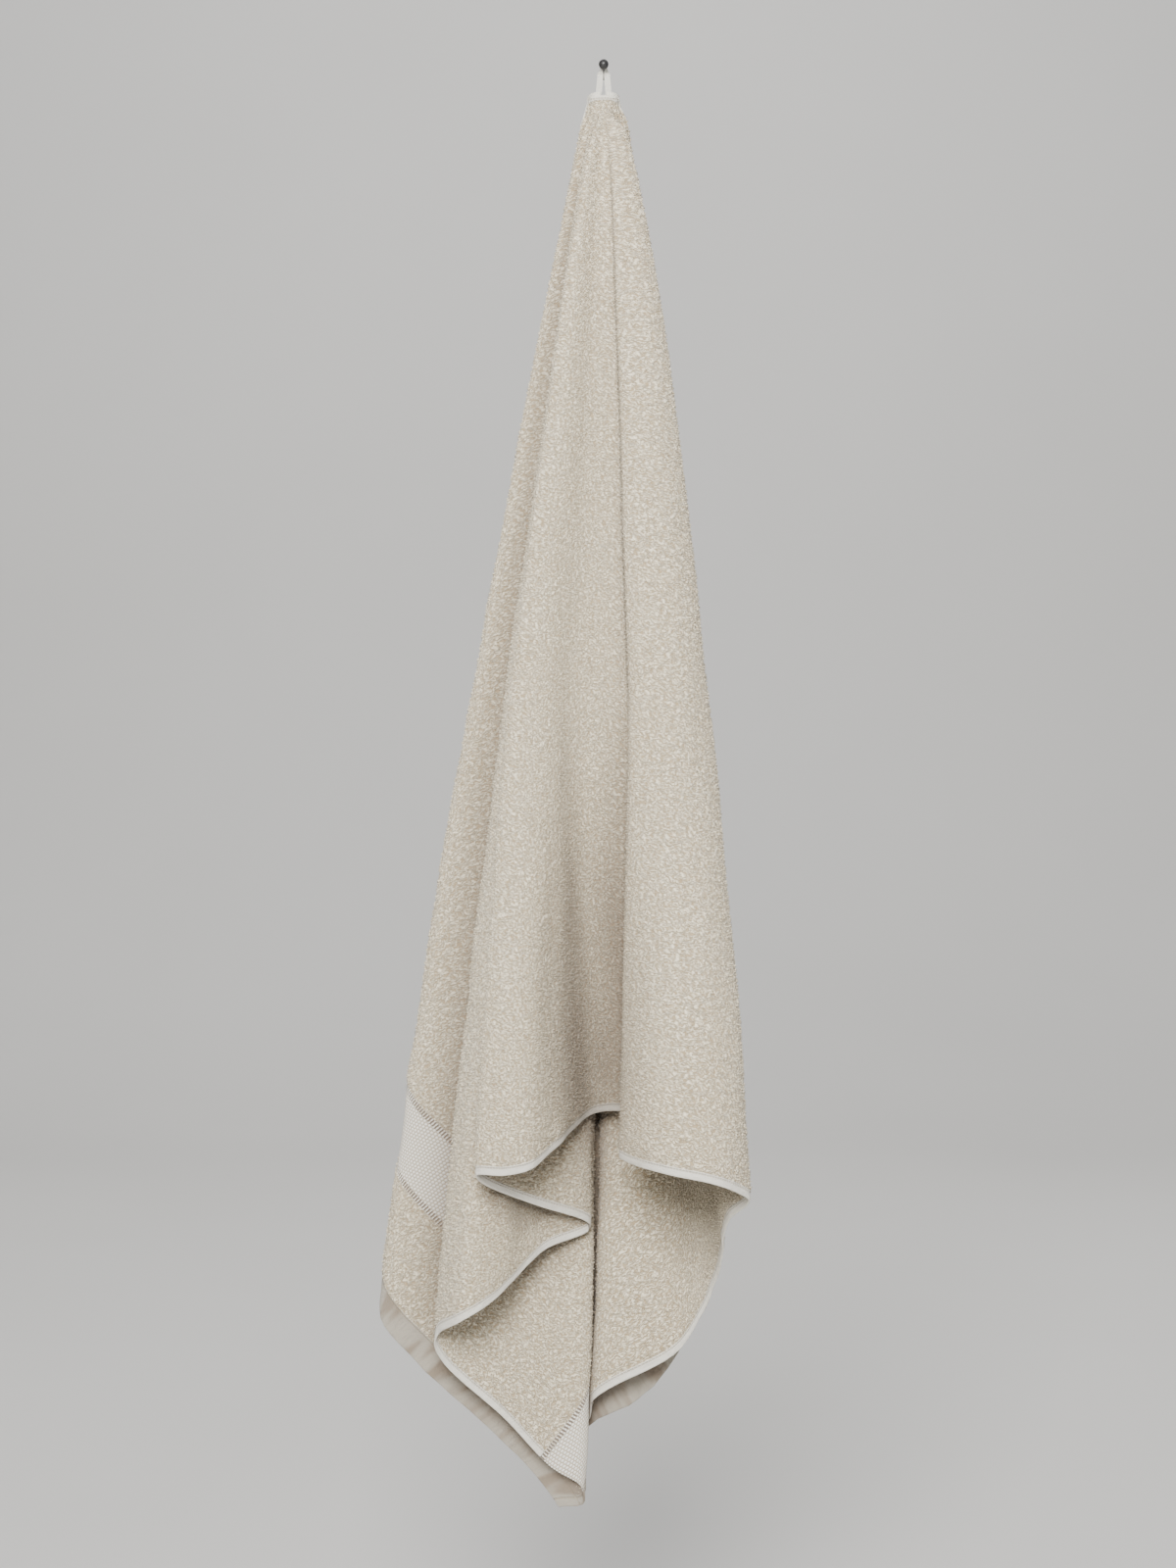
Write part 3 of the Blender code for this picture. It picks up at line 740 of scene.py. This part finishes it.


# Colours of the cloth, some of them painted shade
TERRY_LIGHT = (0.85, 0.775, 0.605)
TERRY_WARM = (0.82, 0.73, 0.55)
# Dark colour for painted shade in the gaps of the loops, the weave and the tape, and for darker
# random tone and stitches
TERRY_SHADE_AND_DARK_TONE = (0.40, 0.31, 0.19)
# Painted shade: dark colour mixed in where the cloth lies closed inside a fold, and how much
PAINTED_FOLD_SHADE_COLOUR = (0.13, 0.085, 0.055)
FOLD_SHADE = 0.82
FOLD_OPEN = 1.0
FOLD_DEEP = 0.22
HEM_COLOUR = (0.76, 0.73, 0.64)
# Painted shade: end hems darker all over, darker still where creases lie
SHADED_END_HEM_COLOUR = (0.41, 0.375, 0.31)
CREASE_SHADE_COLOUR = (0.27, 0.22, 0.165)
BAND_COLOUR = (0.88, 0.86, 0.79)
# Painted shade of the ladder's open holes
SLOT_SHADE_COLOUR = (0.20, 0.16, 0.12)
TAPE_COLOUR = (0.71, 0.70, 0.64)
SHEEN_COLOUR = (1.0, 0.97, 0.90, 1.0)

# Sizes of the weave on the flat cloth, in metres
LOOP_PITCH = 0.0026
CURL_LENGTH = 0.0034
CURL_WIDTH = 0.0013
CURL_DRIFT = (0.005, 0.009, 0.0)
BASKET_PITCH = 0.0032
LADDER_PITCH = 0.0030
THREAD_PITCH = 0.0007
STITCH_PITCH = 0.0028
STITCH_BLUR = (0.0009, 0.0003)
END_STITCH_INSET = 0.0018
SIDE_STITCH_INSET = 0.0016
EDGE_BLUR = 0.0006
BAND_BLUR = 0.0005
CORNER_BLUR = 0.01
TAPE_PITCH = 0.0010

# Noise patterns, in swings to a metre
DRIFT_SCALE = 150.0
PATCH_SCALE = 9.0
CLUMP_SCALE = 110.0
FIBRE_SCALE = 1500.0
WOBBLE_SCALE = 260.0
CRINKLE_SCALE = (60.0, 130.0, 1.0)
CREASE_SCALE = (9.0, 36.0, 1.0)
FUZZ_SCALE = 1800.0
GRAIN_SCALE = 900.0
SMEAR_SCALE = 140.0
STAGE_SCALE = 1.5

# Depths of the bump
TERRY_BUMP = 0.0016
FIBRE_BUMP = 0.0002
TAPE_BUMP = 0.0003
PEG_BUMP = 0.00008

# Colours of the peg and the stage, each as a pair that a noise mixes
PEG_COLOURS = ((0.012, 0.012, 0.013), (0.032, 0.030, 0.029))
STAGE_COLOURS = ((0.68, 0.67, 0.65), (0.72, 0.71, 0.69))


def flat_cloth(g):
    """Places on the flat cloth in metres, and distances to its ends, sides and bands."""
    place = g.uv(CLOTH_MAP)
    along, across = g.parts(place)[:2]
    to_end = g.math("SUBTRACT", HALF_LENGTH, g.math("ABSOLUTE", along))
    to_side = g.math("MINIMUM", across, g.math("SUBTRACT", WIDTH, across))
    left = g.math("LESS_THAN", along, 0.0)
    moved = g.ramp(across, BAND_SHIFT_FROM, BAND_SHIFT_TO, 0.0, BAND_SHIFT)
    shift = g.math("MULTIPLY", left, moved)
    to_band = g.math("SUBTRACT", to_end, shift)
    return place, along, across, to_end, to_side, to_band


def wave(g, value, pitch):
    """Rounded ridges from 0 to 1 with a pitch in metres."""
    turned = g.math("SINE", g.math("MULTIPLY", value, math.pi / pitch))
    return g.math("ABSOLUTE", turned)


def blend_value(g, factor, a, b):
    """a where the factor is 0, b where it is 1."""
    return g.math("ADD", g.math("MULTIPLY", a, g.math("SUBTRACT", 1.0, factor)),
                  g.math("MULTIPLY", b, factor))


def pile_height(g, place):
    """Curly ridges and gaps of the loops, from about 0 to 1."""
    drift = g.noise(place, DRIFT_SCALE, 2.0)
    warped = g.node("ShaderNodeVectorMath", operation="MULTIPLY_ADD")
    g.put(warped.inputs[0], drift)
    warped.inputs[1].default_value = CURL_DRIFT
    g.put(warped.inputs[2], place)
    curls = g.scaled(warped.outputs[0], (1 / CURL_LENGTH, 1 / CURL_WIDTH, 1.0))
    ridge = g.ramp(g.noise(curls, 1.0, 1.5), 0.36, 0.64)
    gaps = g.cells(place, 1 / LOOP_PITCH, 0.35)
    loops = g.math("SUBTRACT", 1.0, g.math("MULTIPLY", gaps, 1.4))
    return g.math("ADD", g.math("MULTIPLY", ridge, 0.7), g.math("MULTIPLY", loops, 0.3))


def loop_tone(g, place):
    """Colour of the loops, with a slow drift in tone."""
    patches = g.noise(place, PATCH_SCALE, 3.0)
    return g.mix(g.ramp(patches, 0.3, 0.7, 0.0, 0.5), TERRY_LIGHT, TERRY_WARM)


def terry_colour(g, place, height):
    """Colour of the terry ground, with painted shade in the gaps between loops and a slow
    random darker tone in clumps.
    """
    clumps = g.noise(place, CLUMP_SCALE, 3.0, 0.6)
    # Painted shade in the low gaps between the loops
    loop_gap_shade = g.math("MULTIPLY", g.ramp(height, 0.75, 0.15), 0.9)
    shade = g.math("ADD", loop_gap_shade, g.ramp(clumps, 0.60, 0.35, 0.0, 0.10))
    return g.mix(g.math("MINIMUM", shade, 1.0), loop_tone(g, place), TERRY_SHADE_AND_DARK_TONE)


def with_painted_fold_shade(g, colour):
    """The colour with painted shade, darker where the cloth lies closed inside a fold."""
    opened = g.parts(g.uv(FOLD_MAP))[0]
    return g.mix(g.ramp(opened, FOLD_OPEN, FOLD_DEEP, 0.0, FOLD_SHADE), colour, PAINTED_FOLD_SHADE_COLOUR)


def pile_material():
    """The raised nubs, in the tones of the ground under them, with painted shade in the gaps
    between loops and in the folds.
    """
    g = Graph("terry_pile")
    place = g.uv(CLOTH_MAP)
    solid = g.node("ShaderNodeTexCoord").outputs["Object"]
    fibre = g.noise(solid, FIBRE_SCALE, 3.0)
    # Painted shade where a nub stands in a gap between loops
    gaps = g.ramp(pile_height(g, place), 0.65, 0.20, 0.0, 0.45)
    shade = g.math("ADD", g.ramp(fibre, 0.65, 0.3, 0.0, 0.2), gaps)
    colour = with_painted_fold_shade(g, g.mix(shade, loop_tone(g, place), TERRY_SHADE_AND_DARK_TONE))
    g.set(Base_Color=colour, Roughness=0.95, Normal=g.bump(fibre, FIBRE_BUMP))
    cloth_finish(g)
    return g.material


def cloth_finish(g):
    """Soft sheen and little gloss, as plain values of the shader."""
    g.shader.inputs["Specular IOR Level"].default_value = 0.15
    g.shader.inputs["Sheen Weight"].default_value = 0.35
    g.shader.inputs["Sheen Roughness"].default_value = 0.6
    g.shader.inputs["Sheen Tint"].default_value = SHEEN_COLOUR


def hem_stitching(g, along, across, to_end, to_side):
    """Marks of the stitches that hold the end hems and the side hems."""
    marks = []
    for away, line, run in ((to_end, END_HEM - END_STITCH_INSET, across),
                            (to_side, SIDE_HEM - SIDE_STITCH_INSET, along)):
        off = g.math("ABSOLUTE", g.math("SUBTRACT", away, line))
        dashes = g.ramp(wave(g, run, STITCH_PITCH), 0.25, 0.6)
        marks.append(g.math("MULTIPLY", g.ramp(off, *STITCH_BLUR), dashes))
    return g.math("MAXIMUM", *marks)


def terry_material():
    """The whole cloth: terry ground, smooth hems, basket-weave bands and their ladders, with
    painted shade in the loop gaps, weave gaps, ladder slots, end hems and folds.
    """
    g = Graph("terry_cloth")
    place, along, across, to_end, to_side, to_band = flat_cloth(g)
    far_corner = g.math("MULTIPLY", g.ramp(across, CORNER_ACROSS, CORNER_ACROSS + CORNER_BLUR),
                        g.math("LESS_THAN", along, 0.0))
    end_depth = g.math("ADD", END_HEM, g.math("MULTIPLY", far_corner, CORNER_PLAIN - END_HEM))
    end_hem = g.ramp(g.math("SUBTRACT", to_end, end_depth), EDGE_BLUR, -EDGE_BLUR)
    side_hem = g.ramp(to_side, SIDE_HEM + EDGE_BLUR, SIDE_HEM - EDGE_BLUR)
    hem = g.math("MAXIMUM", end_hem, side_hem)
    inside_outer = g.ramp(to_band, BAND_OUTER - BAND_BLUR, BAND_OUTER + BAND_BLUR)
    inside_inner = g.ramp(to_band, BAND_INNER + BAND_BLUR, BAND_INNER - BAND_BLUR)
    band = g.math("MULTIPLY", inside_outer, inside_inner)
    plain = g.math("MAXIMUM", hem, band)
    terry_height = pile_height(g, place)

    row = g.math("MODULO", g.math("FLOOR", g.math("DIVIDE", across, BASKET_PITCH)), 2.0)
    offset = g.math("ADD", along, g.math("MULTIPLY", row, BASKET_PITCH / 2))
    basket = g.math("MULTIPLY", wave(g, offset, BASKET_PITCH), wave(g, across, BASKET_PITCH))
    outer = BAND_OUTER + LADDER
    inner = BAND_INNER - LADDER
    ladder_outer = g.ramp(to_band, outer, outer - EDGE_BLUR)
    ladder_inner = g.ramp(to_band, inner, inner + EDGE_BLUR)
    ladder = g.math("MULTIPLY", g.math("MAXIMUM", ladder_outer, ladder_inner), band)
    rungs = wave(g, across, LADDER_PITCH)
    # Painted shade: dark slots stand for the open holes of the ladders
    slot_shade = g.math("MULTIPLY", ladder, g.ramp(rungs, 0.90, 0.65))
    band_height = blend_value(g, ladder, basket, rungs)

    threads = g.math("MULTIPLY", wave(g, along, THREAD_PITCH), wave(g, across, THREAD_PITCH))
    stitch = hem_stitching(g, along, across, to_end, to_side)
    crinkle = g.noise(g.scaled(place, CRINKLE_SCALE), 1.0, 3.0)
    puckered = g.math("SUBTRACT", g.math("MULTIPLY", crinkle, 2.2),
                      g.math("MULTIPLY", stitch, 0.5))
    hem_height = g.math("ADD", g.math("MULTIPLY", threads, 0.12), puckered)
    smooth_height = blend_value(g, band, hem_height, g.math("MULTIPLY", band_height, 0.6))
    height = blend_value(g, plain, terry_height, smooth_height)

    terry = terry_colour(g, place, terry_height)
    # Painted shade between the blobs of the basket weave
    weave = g.mix(g.ramp(basket, 0.55, 0.05, 0.0, 0.85), BAND_COLOUR, TERRY_SHADE_AND_DARK_TONE)
    weave = g.mix(slot_shade, weave, SLOT_SHADE_COLOUR)
    # Painted shade on the end hems: dark overall, with darker bands across them at the creases
    creases = g.noise(g.scaled(place, CREASE_SCALE), 1.0, 2.0)
    shaded_end_cloth = g.mix(g.ramp(creases, 0.47, 0.60), SHADED_END_HEM_COLOUR, CREASE_SHADE_COLOUR)
    wobble = g.noise(place, WOBBLE_SCALE, 2.0)
    smooth = g.mix(g.ramp(wobble, 0.35, 0.7, 0.0, 0.25), HEM_COLOUR, BAND_COLOUR)
    smooth = g.mix(end_hem, smooth, shaded_end_cloth)
    smooth = g.mix(g.math("MULTIPLY", stitch, 0.45), smooth, TERRY_SHADE_AND_DARK_TONE)
    colour = g.mix(plain, terry, g.mix(band, smooth, weave))

    g.set(Base_Color=with_painted_fold_shade(g, colour), Roughness=0.95, Normal=g.bump(height, TERRY_BUMP))
    cloth_finish(g)
    return g.material


def tape_material():
    """Flat tape with fine ribs across it, with painted shade between the ribs."""
    g = Graph("loop_tape")
    place = g.node("ShaderNodeTexCoord").outputs["Object"]
    ribs = wave(g, g.parts(place)[2], TAPE_PITCH)
    fuzz = g.noise(place, FUZZ_SCALE, 3.0)
    height = g.math("ADD", g.math("MULTIPLY", ribs, 0.7), g.math("MULTIPLY", fuzz, 0.5))
    # Painted shade in the low places between the ribs
    colour = g.mix(g.ramp(height, 0.8, 0.3, 0.0, 0.5), TAPE_COLOUR, TERRY_SHADE_AND_DARK_TONE)
    g.set(Base_Color=colour, Roughness=0.9, Normal=g.bump(height, TAPE_BUMP))
    g.shader.inputs["Sheen Weight"].default_value = 0.2
    return g.material


def peg_material():
    """Black half-gloss metal with uneven gloss."""
    g = Graph("peg_black")
    place = g.node("ShaderNodeTexCoord").outputs["Object"]
    grain = g.noise(place, GRAIN_SCALE, 4.0)
    smears = g.noise(place, SMEAR_SCALE, 3.0)
    colour = g.mix(g.ramp(grain, 0.35, 0.75), *PEG_COLOURS)
    gloss = g.ramp(smears, 0.3, 0.7, 0.30, 0.46)
    g.set(Base_Color=colour, Roughness=gloss, Normal=g.bump(grain, PEG_BUMP))
    g.shader.inputs["Specular IOR Level"].default_value = 0.5
    return g.material


def stage_material():
    """Even pale grey."""
    g = Graph("pale_stage")
    place = g.node("ShaderNodeTexCoord").outputs["Object"]
    soft = g.noise(place, STAGE_SCALE, 2.0)
    g.set(Base_Color=g.mix(soft, *STAGE_COLOURS), Roughness=0.9)
    return g.material


# Stage: a floor that sweeps up into a backdrop
FLOOR_Z = -1.66
FRONT_Y = -9.0
BACK_Y = 5.5
SWEEP = 1.6
STAGE_HALF = 12.0
STAGE_TOP = 7.0
SWEEP_STEPS = 16

# Lights: name, place, what it faces, its two sides, power and colour
TOWEL_MIDDLE = (0.0, 0.0, -0.7)
BACKDROP_MIDDLE = (0.0, BACK_Y, 0.2)
LIGHTS = (
    ("key_light", (-0.36, -2.95, 0.60), TOWEL_MIDDLE, (1.2, 1.2), 215, (1.0, 0.985, 0.96)),
    ("fill_light", (2.4, -2.0, -0.3), TOWEL_MIDDLE, (1.8, 1.8), 10, (0.93, 0.96, 1.0)),
    ("stage_light", (0.0, 1.2, 3.4), BACKDROP_MIDDLE, (4.0, 1.5), 180, (1.0, 1.0, 1.0)),
    ("back_light", (1.4, 3.0, 1.2), TOWEL_MIDDLE, (2.0, 2.0), 20, (1.0, 0.99, 0.97)),
)
SKY_COLOUR = (0.95, 0.97, 1.0, 1.0)
SKY_STRENGTH = 0.27


def build_stage():
    """Pale floor that sweeps up into a plain backdrop."""
    outline = [(FRONT_Y, FLOOR_Z), (BACK_Y - SWEEP, FLOOR_Z)]
    for i in range(1, SWEEP_STEPS + 1):
        turn = math.pi / 2 * i / SWEEP_STEPS
        outline.append((BACK_Y - SWEEP + SWEEP * math.sin(turn),
                        FLOOR_Z + SWEEP - SWEEP * math.cos(turn)))
    outline.append((BACK_Y, STAGE_TOP))
    points = []
    faces = []
    for y, z in outline:
        points += [(-STAGE_HALF, y, z), (STAGE_HALF, y, z)]
    for i in range(len(outline) - 1):
        faces.append((2 * i, 2 * i + 1, 2 * i + 3, 2 * i + 2))
    mesh = bpy.data.meshes.new("stage")
    mesh.from_pydata(points, [], faces)
    mesh.shade_smooth()
    stage = add_object("stage", mesh)
    mesh.materials.append(stage_material())


def build_lights():
    """Area lights for the cloth and the backdrop, and a faint even sky."""
    for name, place, target, size, power, colour in LIGHTS:
        lamp = bpy.data.lights.new(name, "AREA")
        lamp.shape = "RECTANGLE"
        lamp.size, lamp.size_y = size
        lamp.energy = power
        lamp.color = colour
        thing = add_object(name, lamp)
        thing.location = place
        way = Vector(target) - Vector(place)
        thing.rotation_euler = way.to_track_quat("-Z", "Y").to_euler()
    world = bpy.data.worlds.new("soft_room")
    world.use_nodes = True
    sky = world.node_tree.nodes["Background"]
    sky.inputs["Color"].default_value = SKY_COLOUR
    sky.inputs["Strength"].default_value = SKY_STRENGTH
    bpy.context.scene.world = world


def build_camera():
    """Camera that looks level at the wall, as the photo does."""
    lens = bpy.data.cameras.new("camera")
    lens.sensor_width = SENSOR
    lens.lens = FOCAL_PIXELS / FRAME_HEIGHT * SENSOR
    lens.clip_end = FARTHEST
    thing = add_object("camera", lens)
    thing.location = CAMERA_PLACE
    thing.rotation_euler = (math.pi / 2, 0, 0)
    bpy.context.scene.camera = thing


def build_towel():
    """The fine sheet in the solid's place, and its pile."""
    sheet = Sheet()
    towel = grid_object("bath_sheet", sheet)
    towel.data.materials.append(terry_material())
    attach(towel, "root")
    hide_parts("towel")
    pile = build_nubs(sheet, add_fold_map(towel, sheet), pile_material())


def dress_nodes():
    """Finer materials for the CAD nodes that stay."""
    looks = {"loop": tape_material(), "peg": peg_material()}
    for name, look in looks.items():
        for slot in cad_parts[name].material_slots:
            slot.material = look


build_camera()
build_stage()
build_lights()
build_towel()
dress_nodes()
